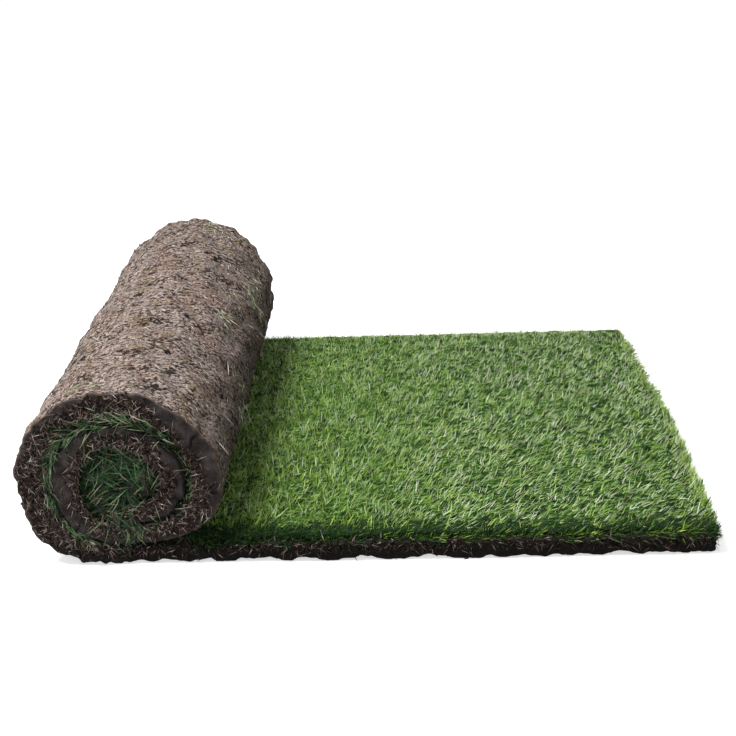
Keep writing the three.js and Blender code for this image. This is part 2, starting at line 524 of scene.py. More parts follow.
def matted_roots(settings):
    """Roots and soil pressed flat by the cutter: dull, dusty and felted, torn into dark specks."""
    material, tree = new_material("matted_roots")
    place, hollow, damp = (
        add(tree, "ShaderNodeAttribute", attribute_name=name)[output]
        for name, output in (("place", "Vector"), ("hollow", "Fac"), ("damp", "Fac"))
    )
    # The cutter's blade drew the roots out along its own way.
    combed, drawn_out = (
        add(tree, "ShaderNodeMapping", {
            "Vector": place, "Rotation": (0, 0, STREAK_TURN), "Scale": (stretch, 1, 1),
        }, vector_type="TEXTURE")[0]
        for stretch in (1.6, 3.4)
    )
    # Each pattern's way, its size in metres, detail, roughness and distortion. Crumbs of 2 mm and
    # root hairs of under 1 mm are drawn coarser, or they wouldn't show.
    torn, hairs, specks, grit, smears, tone, moss = (
        add(tree, "ShaderNodeTexNoise", {
            "Vector": laid, "Scale": 1 / size, "Detail": detail, "Roughness": rough,
            "Distortion": bent,
        })[0]
        for laid, size, detail, rough, bent in (
            (combed, 0.0042, 5, 0.68, 0.3),
            (drawn_out, 0.0024, 3, 0.5, 0.2),
            (combed, 0.0048, 4, 0.6, 0.7),
            (place, 0.0032, 2, 0.6, 0.0),
            (combed, 0.024, 4, 0.6, 0.0),
            (place, 0.055, 3, 0.5, 0.0),
            (place, 0.028, 5, 0.5, 0.0),
        )
    )
    # Painted shade: the torn pits are drawn near black.
    painted_pit_shade = add(tree, "ShaderNodeMath", {0: torn, 1: hollow}, operation="ADD")[0]
    # The specks gather where the smears leave the mat bare.
    specks = {0: smears, 1: 0.7, 2: specks}
    specks = add(tree, "ShaderNodeMath", specks, operation="MULTIPLY_ADD")[0]
    crumbs = [
        (0.39, "#1e1410"), (0.44, "#5c4a42"), (0.49, "#97827b"), (0.58, "#b1a098"),
        (0.68, "#d3c6bd"),
    ]
    colour = add(tree, "ShaderNodeValToRGB", {"Fac": torn}, stops=crumbs)[0]
    colour = lay_over(
        tree, colour,
        (tone, 0.52, 0.62, 0.40, "#a19491"),
        (tone, 0.48, 0.38, 0.40, "#7e594d"),
        (smears, 0.53, 0.60, 0.70, settings.skin_colour),
        (hairs, 0.56, 0.63, 0.58, "#bdad95"),
        (moss, 0.53, 0.64, 0.45, "#8a7a55"),
        (grit, 0.59, 0.66, 0.66, "#d0c5b8"),
        (grit, 0.44, 0.38, 0.95, "#261a13"),
        (hairs, 0.43, 0.38, 0.90, "#281b14"),
        (specks, 0.785, 0.725, 0.95, "#1c1411"),
        # Painted shade: the pits near black.
        (painted_pit_shade, 0.80, 1.05, 1.00, "#0c0a09"),
        # Damp soil, and painted shade near the floor, towards the tail and on the hidden turns.
        (damp, 0.00, 1.00, 0.94, "#1d1714"),
    )
    height = add(tree, "ShaderNodeMath", {0: torn, 1: hairs}, operation="ADD")[0]
    finish(tree, colour, height, 0.0042, Roughness=0.95, Specular_IOR_Level=0.2)
    return material


def cut_edge(settings):
    """Turf edge cut by a blade: smooth charcoal soil below, torn red-brown thatch above."""
    material, tree = new_material("cut_soil_and_thatch")
    place, smooth_soil, damp, rim = (
        add(tree, "ShaderNodeAttribute", attribute_name=name)[output]
        for name, output in (
            ("place", "Vector"), ("smooth_soil", "Fac"), ("damp", "Fac"), ("rim", "Fac")
        )
    )
    # Crumbs of 3 mm, grit of 1.4 mm and the blade's smears.
    crumbs, grit, smear = (
        add(tree, "ShaderNodeTexNoise", {
            "Vector": place, "Scale": 1 / size, "Detail": detail, "Roughness": rough,
        })[0]
        for size, detail, rough in ((0.0030, 4, 0.6), (0.0014, 3, 0.6), (0.016, 3, 0.5))
    )
    torn = [
        (0.36, "#0d0a0a"), (0.47, "#211a18"), (0.56, "#3a2f2b"), (0.66, "#675953"),
        (0.76, "#a3968d"),
    ]
    thatch = add(tree, "ShaderNodeValToRGB", {"Fac": crumbs}, stops=torn)[0]
    sliced = [(0.36, "#231f1f"), (0.50, settings.soil_colour), (0.64, "#443e3c")]
    soil = add(tree, "ShaderNodeValToRGB", {"Fac": smear}, stops=sliced)[0]
    soil = lay_over(
        tree, soil, (grit, 0.45, 0.34, 0.60, "#1d1918"), (grit, 0.58, 0.68, 0.35, "#655c58")
    )
    mixed = {0: smooth_soil, 6: thatch, 7: soil}
    colour = add(tree, "ShaderNodeMix", mixed, data_type="RGBA")[2]
    # Near black where the soil is damp, and painted shade near the floor and along the tail's cut
    # edges.
    colour = lay_over(tree, colour, (rim, 0, 1, 1, "#7b685c"), (damp, 0, 1, 0.92, "#0d0b0a"))
    height = add(tree, "ShaderNodeMath", {0: crumbs, 1: grit}, operation="ADD")[0]
    finish(tree, colour, height, 0.0010, Roughness=0.93, Specular_IOR_Level=0.12)
    return material


def leaf_bases():
    """Leaf bases and moss between the blades, dark as painted shade: streaks of dark and middle
    green.
    """
    material, tree = new_material("shaded_leaf_bases")
    place = add(tree, "ShaderNodeAttribute", attribute_name="place")["Vector"]
    pressed = add(tree, "ShaderNodeAttribute", attribute_name="pressed")["Fac"]
    leaning = {"Vector": place, "Rotation": (0, 0, LEAN_TURN), "Scale": (4.0, 1, 1)}
    leaning = add(tree, "ShaderNodeMapping", leaning, vector_type="TEXTURE")[0]
    # Leaf bases 1 mm wide are drawn 2.6 mm wide, or they wouldn't show.
    streaks = {"Vector": leaning, "Scale": 1 / 0.0026, "Detail": 3, "Roughness": 0.6}
    streaks = add(tree, "ShaderNodeTexNoise", streaks)[0]
    tufts = {"Vector": place, "Scale": 1 / 0.012, "Detail": 3}
    tufts = add(tree, "ShaderNodeTexNoise", tufts)[0]
    greens = [
        (0.36, "#0f1c0c"), (0.45, "#213c18"), (0.53, "#426329"), (0.62, "#6f9145"),
        (0.72, "#9dbb7c"),
    ]
    colour = add(tree, "ShaderNodeValToRGB", {"Fac": streaks}, stops=greens)[0]
    colour = lay_over(
        tree, colour,
        (tufts, 0.48, 0.36, 0.75, "#121d0c"),
        (tufts, 0.62, 0.70, 0.45, "#3f3a22"),
        # Painted shade: darker between the turns and along the tail's front edge.
        (pressed, 0, 1, 0.80, "#101f14"),
    )
    finish(tree, colour, streaks, 0.003, Roughness=0.95, Specular_IOR_Level=0.1)
    return material


def strand_finish(name, tints, foot, middle, roughness, **sockets):
    """A finish read from a strand's own map: its tint across, and painted shade darker at its foot.
    """
    material, tree = new_material(name)
    uv = add(tree, "ShaderNodeUVMap", uv_map=LEAF_MAP)[0]
    reading = add(tree, "ShaderNodeSeparateXYZ", {0: uv})
    tint = add(tree, "ShaderNodeValToRGB", {"Fac": reading["X"]}, stops=tints)[0]
    # Painted shade: each strand darkens towards its foot.
    shade = [(0.0, foot), (0.42, middle), (0.95, "#ffffff")]
    shade = add(tree, "ShaderNodeValToRGB", {"Fac": reading["Y"]}, stops=shade)[0]
    shaded = {0: 1.0, 6: tint, 7: shade}
    colour = add(tree, "ShaderNodeMix", shaded, data_type="RGBA", blend_type="MULTIPLY")[2]
    finish(tree, colour, Roughness=roughness, **sockets)
    return material


def living_leaf():
    """Ryegrass leaf: waxy, deep green to yellow-green, and pale bluish white as painted sheen."""
    tints = [
        (0.00, "#15300e"), (0.22, "#426c1e"), (0.42, "#97c146"), (0.58, "#d2ee76"),
        # The pale, bluish white stops from 0.84 up are painted sheen.
        (0.72, "#d8f096"), (0.84, "#d2edb2"), (0.93, "#daf0cc"), (0.98, "#f0f8e0"),
    ]
    return strand_finish(
        "ryegrass_leaf", tints, "#1e2814", "#b0bc98", 0.50, Specular_IOR_Level=0.32,
        Subsurface_Weight=0.2, Subsurface_Radius=(0.0012, 0.0018, 0.0006), Subsurface_Scale=1.0,
    )


def pressed_leaf():
    """The same leaf after days in the roll: bluer and duller, and darker, partly as painted shade.
    """
    tints = [
        (0.00, "#142e1b"), (0.25, "#27552f"), (0.45, "#437c43"), (0.60, "#6d9c54"),
        (0.74, "#a3ba80"), (0.88, "#cdd3b6"), (0.98, "#dbd2b8"),
    ]
    return strand_finish("pressed_leaf", tints, "#3c443b", "#d4d4d4", 0.5, Specular_IOR_Level=0.5)


def dead_strand():
    """Dead stems and roots: dry, fibrous and dull, from dark brown to bleached straw."""
    tints = [
        (0.00, "#211b19"), (0.22, "#433932"), (0.42, "#6f5a50"), (0.60, "#94827a"),
        (0.78, "#b3a9a0"), (0.95, "#dcd6cc"),
    ]
    return strand_finish(
        "dry_roots_and_stems", tints, "#8a8a8a", "#f0f0f0", 0.9, Specular_IOR_Level=0.2
    )


def peat_crumb():
    """Loose peaty crumbs: matt, near black to red-brown."""
    tints = [(0.0, "#0e0b0a"), (0.35, "#211a18"), (0.65, "#372c28"), (0.90, "#584a44")]
    return strand_finish("peat_crumbs", tints, "#bbbbbb", "#eeeeee", 0.95, Specular_IOR_Level=0.08)


# ---------------------------------------------------------------------------------------------
# Winding.

LINE_LEAD = 0.020  # spare length at both ends of the line that the strip is wound along
WINDING_INPUTS = (
    ("Flat strip", "Geometry"),
    ("Underside line", "Object"),
    ("Line lead", "Float"),
    ("Tail length", "Float"),
    ("Strip width", "Float"),
    ("Roll height", "Float"),
    ("Far end rise", "Float"),
    ("Outside finish", "Material"),
    ("Cut finish", "Material"),
)


def winding_tree():
    """Winds a flat strip up along a line, and lifts the roll's looser far end.

    The strip's X runs along its underside from the cut end, Y across it and Z up through it.
    """
    tree, given = new_tree("Wind the strip up", WINDING_INPUTS, "Wound strip")
    flat = add(tree, "ShaderNodeSeparateXYZ", {0: add(tree, "GeometryNodeInputPosition")[0]})
    line = add(tree, "GeometryNodeObjectInfo", {"Object": given["Underside line"]})["Geometry"]
    length = add(tree, "ShaderNodeMath", {0: flat["X"], 1: given["Line lead"]}, operation="ADD")[0]
    read = {"Curves": line, "Length": length}
    spot = add(tree, "GeometryNodeSampleCurve", read, mode="LENGTH", use_all_curves=True)
    inward = {0: (0, 1, 0), 1: spot["Tangent"]}
    inward = add(tree, "ShaderNodeVectorMath", inward, operation="CROSS_PRODUCT")[0]
    up = add(tree, "ShaderNodeVectorMath", {0: inward, "Scale": flat["Z"]}, operation="SCALE")[0]
    wound = add(tree, "ShaderNodeVectorMath", {0: spot["Position"], 1: up}, operation="ADD")[0]
    wound = add(tree, "ShaderNodeSeparateXYZ", {0: wound})
    side = {0: flat["Y"], 1: given["Strip width"]}
    side = add(tree, "ShaderNodeMath", side, operation="DIVIDE")[0]
    side = add(tree, "ShaderNodeMath", {0: side, 1: 0.5}, operation="ADD")[0]
    in_roll = {0: flat["X"], 1: given["Tail length"]}
    in_roll = add(tree, "ShaderNodeMath", in_roll, operation="GREATER_THAN")[0]
    # The rise grows with the square of the height, and from none at the near end to all at the
    # far one.
    rise = wound["Z"]
    for operation, by in (
        ("DIVIDE", given["Roll height"]), ("POWER", 2.0), ("MULTIPLY", side), ("MULTIPLY", in_roll)
    ):
        rise = add(tree, "ShaderNodeMath", {0: rise, 1: by}, operation=operation)[0]
    lifted = {0: rise, 1: given["Far end rise"], 2: wound["Z"]}
    lifted = add(tree, "ShaderNodeMath", lifted, operation="MULTIPLY_ADD")[0]
    lifted = add(tree, "ShaderNodeMath", {0: lifted, 1: 0.0}, operation="MAXIMUM")[0]
    place = add(tree, "ShaderNodeCombineXYZ", {0: wound["X"], 1: flat["Y"], 2: lifted})[0]
    strip = {"Geometry": given["Flat strip"], "Position": place}
    strip = add(tree, "GeometryNodeSetPosition", strip)[0]
    # The strip's length runs against the frame's X, which turns its faces inside out.
    strip = add(tree, "GeometryNodeFlipFaces", {"Mesh": strip})[0]
    strip = add(tree, "GeometryNodeRealizeInstances", {0: strip})[0]
    cut = {"Name": "cut_face"}
    cut = add(tree, "GeometryNodeInputNamedAttribute", cut, data_type="BOOLEAN")[0]
    strip = {"Geometry": strip, "Material": given["Outside finish"]}
    strip = add(tree, "GeometryNodeSetMaterial", strip)[0]
    edged = {"Geometry": strip, "Selection": cut, "Material": given["Cut finish"]}
    add(tree, "NodeGroupOutput", {0: add(tree, "GeometryNodeSetMaterial", edged)[0]})
    return tree


def underside_line():
    """The strip's underside seen from the side, as a curve with the spare lead at both ends."""
    headings = stations(np.array([0.0, STRIP_END])).heading
    first, last = LINE.spot[0] - headings[0] * LINE_LEAD, LINE.spot[-1] + headings[1] * LINE_LEAD
    points = upright(np.vstack([first, LINE.spot, last]))
    curve = bpy.data.curves.new("underside_line", "CURVE")
    curve.dimensions = "3D"
    spline = curve.splines.new("POLY")
    spline.points.add(len(points) - 1)
    spline.points.foreach_set("co", np.column_stack([points, np.ones(len(points))]).ravel())
    return link(curve, "underside_line")


# ---------------------------------------------------------------------------------------------
# Scattering.


def sliver(name, bend):
    """The smallest closed strand: unit length along Z, unit width along Y, bent towards +X."""
    middle = bend * 0.18
    points = np.array([(0, 0, 0), (middle, -0.5, 0.42), (middle, 0.5, 0.42), (bend, 0, 1)])
    mesh = closed_mesh(name, points, [(0, 1, 2), (1, 3, 2), (0, 3, 1), (0, 2, 3)])
    mesh.polygons.foreach_set("use_smooth", [False] * 4)
    write_attributes(mesh, {"rise": points[:, 2], "lean": points[:, 1] * 2})
    return mesh


def long_blade(name, bend):
    """A long blade in the same place and size, with a keel and a thinner upper half."""
    rings = ((0.30, 1.0), (0.68, 0.75))
    points, faces = [(0, 0, 0)], []
    for z, full in rings:
        x = bend * z * z
        points += [(x, -full / 2, z), (x, full / 2, z), (x + 0.013 * full, 0, z)]
    points.append((bend, 0, 1))
    for side in range(3):
        other = (side + 1) % 3
        faces += [(0, 1 + other, 1 + side), (4 + side, 4 + other, 7)]
        faces.append((1 + side, 1 + other, 4 + other, 4 + side))
    points = np.array(points, float)
    mesh = closed_mesh(name, points, faces)
    write_attributes(mesh, {"rise": points[:, 2], "lean": np.sign(points[:, 1])})
    return mesh


def crumb(name, seed):
    """A small irregular lump with eight faces."""
    random = np.random.default_rng(seed)
    axes = np.vstack([np.eye(3), -np.eye(3)])
    points = axes * random.uniform(0.35, 0.62, (6, 1)) + random.uniform(-0.1, 0.1, (6, 3))
    faces = [(0, 1, 2), (1, 3, 2), (3, 4, 2), (4, 0, 2), (1, 0, 5), (3, 1, 5), (4, 3, 5), (0, 4, 5)]
    mesh = closed_mesh(name, points, faces)
    rise = points[:, 2] - points[:, 2].min()
    write_attributes(mesh, {"rise": rise / rise.max(), "lean": np.sign(points[:, 0])})
    return mesh


def shape_set(name, shape, choices):
    """One of each shape that a function makes, as a collection to scatter from."""
    shapes = bpy.data.collections.new(name)
    for choice in choices:
        mesh = shape(f"{name}_{choice}", choice)
        shapes.objects.link(bpy.data.objects.new(mesh.name, mesh))
    return shapes


LOWEST_STRAND = 0.0003  # above the floor, for any point of a strand
# Share, Growth and Tint are the names of attributes of the ground.
SCATTER_INPUTS = (
    ("Ground", "Geometry"),
    ("Per square metre", "Float"),
    ("Share", "String"),
    ("Growth", "String"),
    ("Tint", "String"),
    ("Tint spread", "Float"),
    ("Shortest", "Float"),
    ("Longest", "Float"),
    ("Narrowest", "Float"),
    ("Widest", "Float"),
    ("Spread", "Float"),
    ("Flatten", "Float"),
    ("Lowest corner", "Vector"),
    ("Highest corner", "Vector"),
    ("Overhang", "Float"),
    ("Shapes", "Collection"),
    ("Last shape", "Int"),
    ("Finish", "Material"),
    ("Seed", "Int"),
)


def scatter_tree():
    """Strands on a ground mesh, along its growth attribute with a random stray, made real."""
    tree, given = new_tree("Scatter on turf", SCATTER_INPUTS, "Strands")
    share, growth, tint, tall = (
        add(tree, "GeometryNodeInputNamedAttribute", {"Name": name}, data_type=kind)[0]
        for name, kind in (
            (given["Share"], "FLOAT"),
            (given["Growth"], "FLOAT_VECTOR"),
            (given["Tint"], "FLOAT"),
            ("tall", "FLOAT"),
        )
    )
    density = {0: given["Per square metre"], 1: share}
    density = add(tree, "ShaderNodeMath", density, operation="MULTIPLY")[0]
    spots = {"Mesh": given["Ground"], "Density": density, "Seed": given["Seed"]}
    spots = add(tree, "GeometryNodeDistributePointsOnFaces", spots, distribute_method="RANDOM")

    # Each random draw has a seed of its own. Its limits are in sockets 0 and 1 for a vector, in 2
    # and 3 for a number, and in 4 and 5 for a whole one.
    stray = {0: (-1, -1, -1), 1: (1, 1, 1), "Seed": 11}
    stray = add(tree, "FunctionNodeRandomValue", stray, data_type="FLOAT_VECTOR")[0]
    twist, length, breadth, drawn = (
        add(tree, "FunctionNodeRandomValue", {2: low, 3: high, "Seed": seed}, data_type="FLOAT")[1]
        for low, high, seed in (
            (0.0, math.tau, 21),
            (given["Shortest"], given["Longest"], 31),
            (given["Narrowest"], given["Widest"], 36),
            (-1.0, 1.0, 41),
        )
    )
    pick = {4: 0, 5: given["Last shape"], "Seed": 51}
    pick = add(tree, "FunctionNodeRandomValue", pick, data_type="INT")[2]

    # A strand points along its growth, with a stray, and loses the flattened share of its rise.
    stray = {0: stray, "Scale": given["Spread"]}
    stray = add(tree, "ShaderNodeVectorMath", stray, operation="SCALE")[0]
    axis = add(tree, "ShaderNodeVectorMath", {0: growth, 1: stray}, operation="ADD")[0]
    rise = {0: axis, 1: spots["Normal"]}
    rise = add(tree, "ShaderNodeVectorMath", rise, operation="DOT_PRODUCT")["Value"]
    rise = add(tree, "ShaderNodeMath", {0: rise, 1: given["Flatten"]}, operation="MULTIPLY")[0]
    rise = {0: spots["Normal"], "Scale": rise}
    rise = add(tree, "ShaderNodeVectorMath", rise, operation="SCALE")[0]
    axis = add(tree, "ShaderNodeVectorMath", {0: axis, 1: rise}, operation="SUBTRACT")[0]
    turned = add(tree, "FunctionNodeAlignRotationToVector", {"Vector": axis}, axis="Z")[0]
    twist = add(tree, "FunctionNodeAxisAngleToRotation", {"Axis": (0, 0, 1), "Angle": twist})[0]
    turned = {"Rotation": turned, "Rotate By": twist}
    turned = add(tree, "FunctionNodeRotateRotation", turned, rotation_space="LOCAL")[0]
    length = add(tree, "ShaderNodeMath", {0: length, 1: tall}, operation="MULTIPLY")[0]
    size = add(tree, "ShaderNodeCombineXYZ", {0: length, 1: breadth, 2: length})[0]
    drawn = {0: drawn, 1: given["Tint spread"], 2: tint}
    drawn = add(tree, "ShaderNodeMath", drawn, operation="MULTIPLY_ADD", use_clamp=True)[0]
    points = {"Geometry": spots["Points"], "Name": "strand_tint", "Value": drawn}
    points = add(tree, "GeometryNodeStoreNamedAttribute", points)[0]
    shapes = {"Collection": given["Shapes"], "Separate Children": True, "Reset Children": True}
    shapes = add(tree, "GeometryNodeCollectionInfo", shapes)[0]
    strands = {
        "Points": points, "Instance": shapes, "Pick Instance": True, "Instance Index": pick,
        "Rotation": turned, "Scale": size,
    }
    strands = add(tree, "GeometryNodeInstanceOnPoints", strands)[0]
    strands = add(tree, "GeometryNodeRealizeInstances", {0: strands})[0]

    # What reaches past the strip's own edges bends back, and never gets beyond the overhang.
    place = inside = add(tree, "GeometryNodeInputPosition")[0]
    for operation, corner in (
        ("MAXIMUM", given["Lowest corner"]), ("MINIMUM", given["Highest corner"])
    ):
        inside = add(tree, "ShaderNodeVectorMath", {0: inside, 1: corner}, operation=operation)[0]
    over = add(tree, "ShaderNodeVectorMath", {0: place, 1: inside}, operation="SUBTRACT")[0]
    room = add(tree, "ShaderNodeVectorMath", {0: over}, operation="ABSOLUTE")[0]
    room = {0: room, 1: given["Overhang"]}
    room = add(tree, "ShaderNodeVectorMath", room, operation="ADD")[0]
    for operation, by in (("MULTIPLY", given["Overhang"]), ("DIVIDE", room)):
        over = add(tree, "ShaderNodeVectorMath", {0: over, 1: by}, operation=operation)[0]
    place = add(tree, "ShaderNodeVectorMath", {0: inside, 1: over}, operation="ADD")[0]
    place = {0: place, 1: (-10, -10, LOWEST_STRAND)}
    place = add(tree, "ShaderNodeVectorMath", place, operation="MAXIMUM")[0]
    strands = add(tree, "GeometryNodeSetPosition", {"Geometry": strands, "Position": place})[0]

    # The strand's map: its tint across, a little wider than a line, and its rise upwards.
    drawn, rise, lean = (
        add(tree, "GeometryNodeInputNamedAttribute", {"Name": name}, data_type="FLOAT")[0]
        for name in ("strand_tint", "rise", "lean")
    )
    drawn = add(tree, "ShaderNodeClamp", {"Value": drawn, "Min": 0.02, "Max": 0.98})[0]
    drawn = add(tree, "ShaderNodeMath", {0: lean, 1: 0.006, 2: drawn}, operation="MULTIPLY_ADD")[0]
    rise = add(tree, "ShaderNodeMath", {0: rise, 1: 0.96, 2: 0.02}, operation="MULTIPLY_ADD")[0]
    laid = add(tree, "ShaderNodeCombineXYZ", {0: drawn, 1: rise})[0]
    laid = {"Geometry": strands, "Name": LEAF_MAP, "Value": laid}
    strands = add(
        tree, "GeometryNodeStoreNamedAttribute", laid, data_type="FLOAT2", domain="CORNER"
    )[0]
    finished = {"Geometry": strands, "Material": given["Finish"]}
    add(tree, "NodeGroupOutput", {0: add(tree, "GeometryNodeSetMaterial", finished)[0]})
    return tree


def scatter(name, ground, shapes, finish, **values):
    """Strands scattered over a ground mesh, as one plain mesh."""
    settings = bpy.context.scene.turf_grass
    tree = bpy.data.node_groups.get("Scatter on turf") or scatter_tree()
    low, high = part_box("soil_mat")
    given = {
        "Flatten": 0.0, "Tint": "tint", "Share": "share", "Growth": "growth", "Tint spread": 0.4,
        "Lowest corner": tuple(low), "Highest corner": tuple(high), "Overhang": settings.overhang,
        "Shapes": shapes, "Last shape": len(shapes.objects) - 1, "Finish": finish,
    }
    given |= {label.replace("_", " "): value for label, value in values.items()}
    mesh = run_tree(tree, name, ground, given)
    for column in [a.name for a in mesh.attributes if a.domain == "POINT" and not a.is_required]:
        mesh.attributes.remove(mesh.attributes[column])
    return link(mesh, name)


def ground_mesh(name, points, columns, wide):
    """An open grid that only carries strands: rows of `wide` points, with its attributes."""
    rows = len(points) // wide
    corner = (np.arange(rows - 1)[:, None] * wide + np.arange(wide - 1)).ravel()
    faces = np.stack([corner, corner + 1, corner + wide + 1, corner + wide], 1)
    mesh = bpy.data.meshes.new(name)
    mesh.from_pydata(points.tolist(), [], faces.tolist())
    write_attributes(mesh, columns)
    return mesh


# ---------------------------------------------------------------------------------------------
# The soil mat.

MAT_GRID = (160, 10, 8)  # steps across and through it, of which a plain side keeps each eighth
TAIL_STEP, WOUND_STEP = 0.0031, 0.00255  # between the mat's stations
# How much of the mat's depth the blade left smooth, by turns from the roll's lowest point.
SMOOTH_SHARE = (
    (0.00, 0.35), (0.12, 0.12), (0.25, 0.06), (0.33, 0.18), (0.40, 0.36), (0.47, 0.12),
    (0.52, 0.00), (0.57, 0.35), (0.62, 0.80), (0.70, 0.72), (0.78, 0.50), (0.86, 0.22),
    (1.00, 0.20), (1.06, 0.60), (1.20, 0.68), (1.36, 0.62), (1.44, 0.30), (1.60, 0.05),
    (1.68, 0.45), (1.74, 0.20), (1.85, 0.40), (1.95, 0.25), (2.10, 0.25),
)
FAR_END_SHIFT = 0.83  # turns by which the far end's smooth stretches lie further on
TAIL_SMOOTH_SHARE = 0.55
# Pits torn in the roll's outside: turns, metres across, radius and depth in metres.
PITS = (
    (0.562, -0.172, 0.0062, 0.006), (0.453, -0.136, 0.0070, 0.004),
    (0.463, -0.128, 0.0045, 0.004), (0.569, -0.066, 0.0065, 0.003),
    (0.439, 0.184, 0.0055, 0.003), (0.557, 0.166, 0.0045, 0.003),
    (0.577, 0.158, 0.0055, 0.003), (0.692, -0.172, 0.0050, 0.003),
    (0.636, -0.282, 0.0045, 0.003), (0.250, 0.050, 0.0060, 0.004),
    (0.300, -0.200, 0.0045, 0.003), (0.180, 0.210, 0.0055, 0.004),
    (0.780, 0.080, 0.0055, 0.003), (0.350, 0.240, 0.0045, 0.003),
    (0.500, 0.020, 0.0040, 0.003),
)
# Green wisps caught on the outside: turns, metres across and the patch's radius.
WISPS = (
    (0.549, 0.272, 0.016), (0.684, 0.144, 0.022), (0.631, -0.003, 0.011), (0.449, -0.275, 0.013),
    (0.300, 0.120, 0.014), (0.760, -0.120, 0.018),
)
# Cracks across the cut soil of the near end: turns and width in metres.
CRACKS = ((0.668, 0.0010), (0.775, 0.0016), (0.795, 0.0010), (1.840, 0.0016), (1.130, 0.0008))
SOIL_PIECE = "soil_mat_cut_turf"


def corner_wear(along, across):
    """How far the cut end is worn back, in small bays and most of all towards its far corner."""
    bays = np.sin(across * 74) + 0.7 * np.sin(across * 171 + 1)
    return (0.016 * smooth(-0.05, 0.22, across) + 0.0022 * bays) * smooth(0.060, 0.0, along)


def outside_relief(at, place, below):
    """How far the combed root mat stands out, and how deep in a torn pit each point lies."""
    spin = np.array(Matrix.Rotation(-STREAK_TURN, 3, "Z"))
    combed = (place @ spin.T) * (0.3, 1, 1)
    skin = grain(place + (0, 5, 0), 0.016) * 0.0015 + grain(combed, 0.0055, 2) * 0.0014
    hollow = np.zeros(len(place))
    for turn, side, radius, deep in PITS:
        off = np.hypot(at.along - along_at(turn), place[:, 1] - side) / radius
        close = np.flatnonzero((off < 2.5) & below)
        off = off[close] * (1 + 0.5 * grain(place[close] + turn, 0.006, 2))
        pit = np.exp(-(off**2) * 1.6)
        hollow[close] = np.maximum(hollow[close], pit)
        skin[close] -= pit * deep
    return skin, hollow


def cut_relief(at, place, depth, near, far):
    """How far the cut faces stand out, and where they are smooth soil and not torn thatch."""
    crumb_height = bpy.context.scene.turf_soil.crumb_height
    shifted = (at.turn + FAR_END_SHIFT) % 1.0 + np.floor(at.turn)
    share = np.interp(np.where(far, shifted, at.turn), *np.array(SMOOTH_SHARE).T)
    share = np.where(at.in_roll, share, TAIL_SMOOTH_SHARE)
    ragged = grain(place + (9, 0, 0), 0.012) * 0.16
    smooth_soil = 1 - smooth(-0.05, 0.05, depth - share - ragged)
    torn = (crumb_height * grain(place + (0, 0, 4), 0.0065, 4) + 0.0008) * (1 - smooth_soil)
    sliced = 0.0006 * grain(place + (0, 2, 0), 0.010, 2) * smooth_soil
    wave = 0.0022 * grain(place * (1, 0, 0) + (0, 0, 1.5), 0.070, 2)
    face = torn + sliced + wave
    for turn, wide in CRACKS:
        bent = at.along + 0.004 * np.sin(place[:, 2] * 260) - along_at(turn)
        face -= 0.005 * np.exp(-((bent / wide) ** 2)) * near * smooth_soil
    corner = (depth == 0) | (depth == 1)
    face -= corner * (0.0014 + 0.0012 * grain(place, 0.008, 2))
    return face, smooth_soil


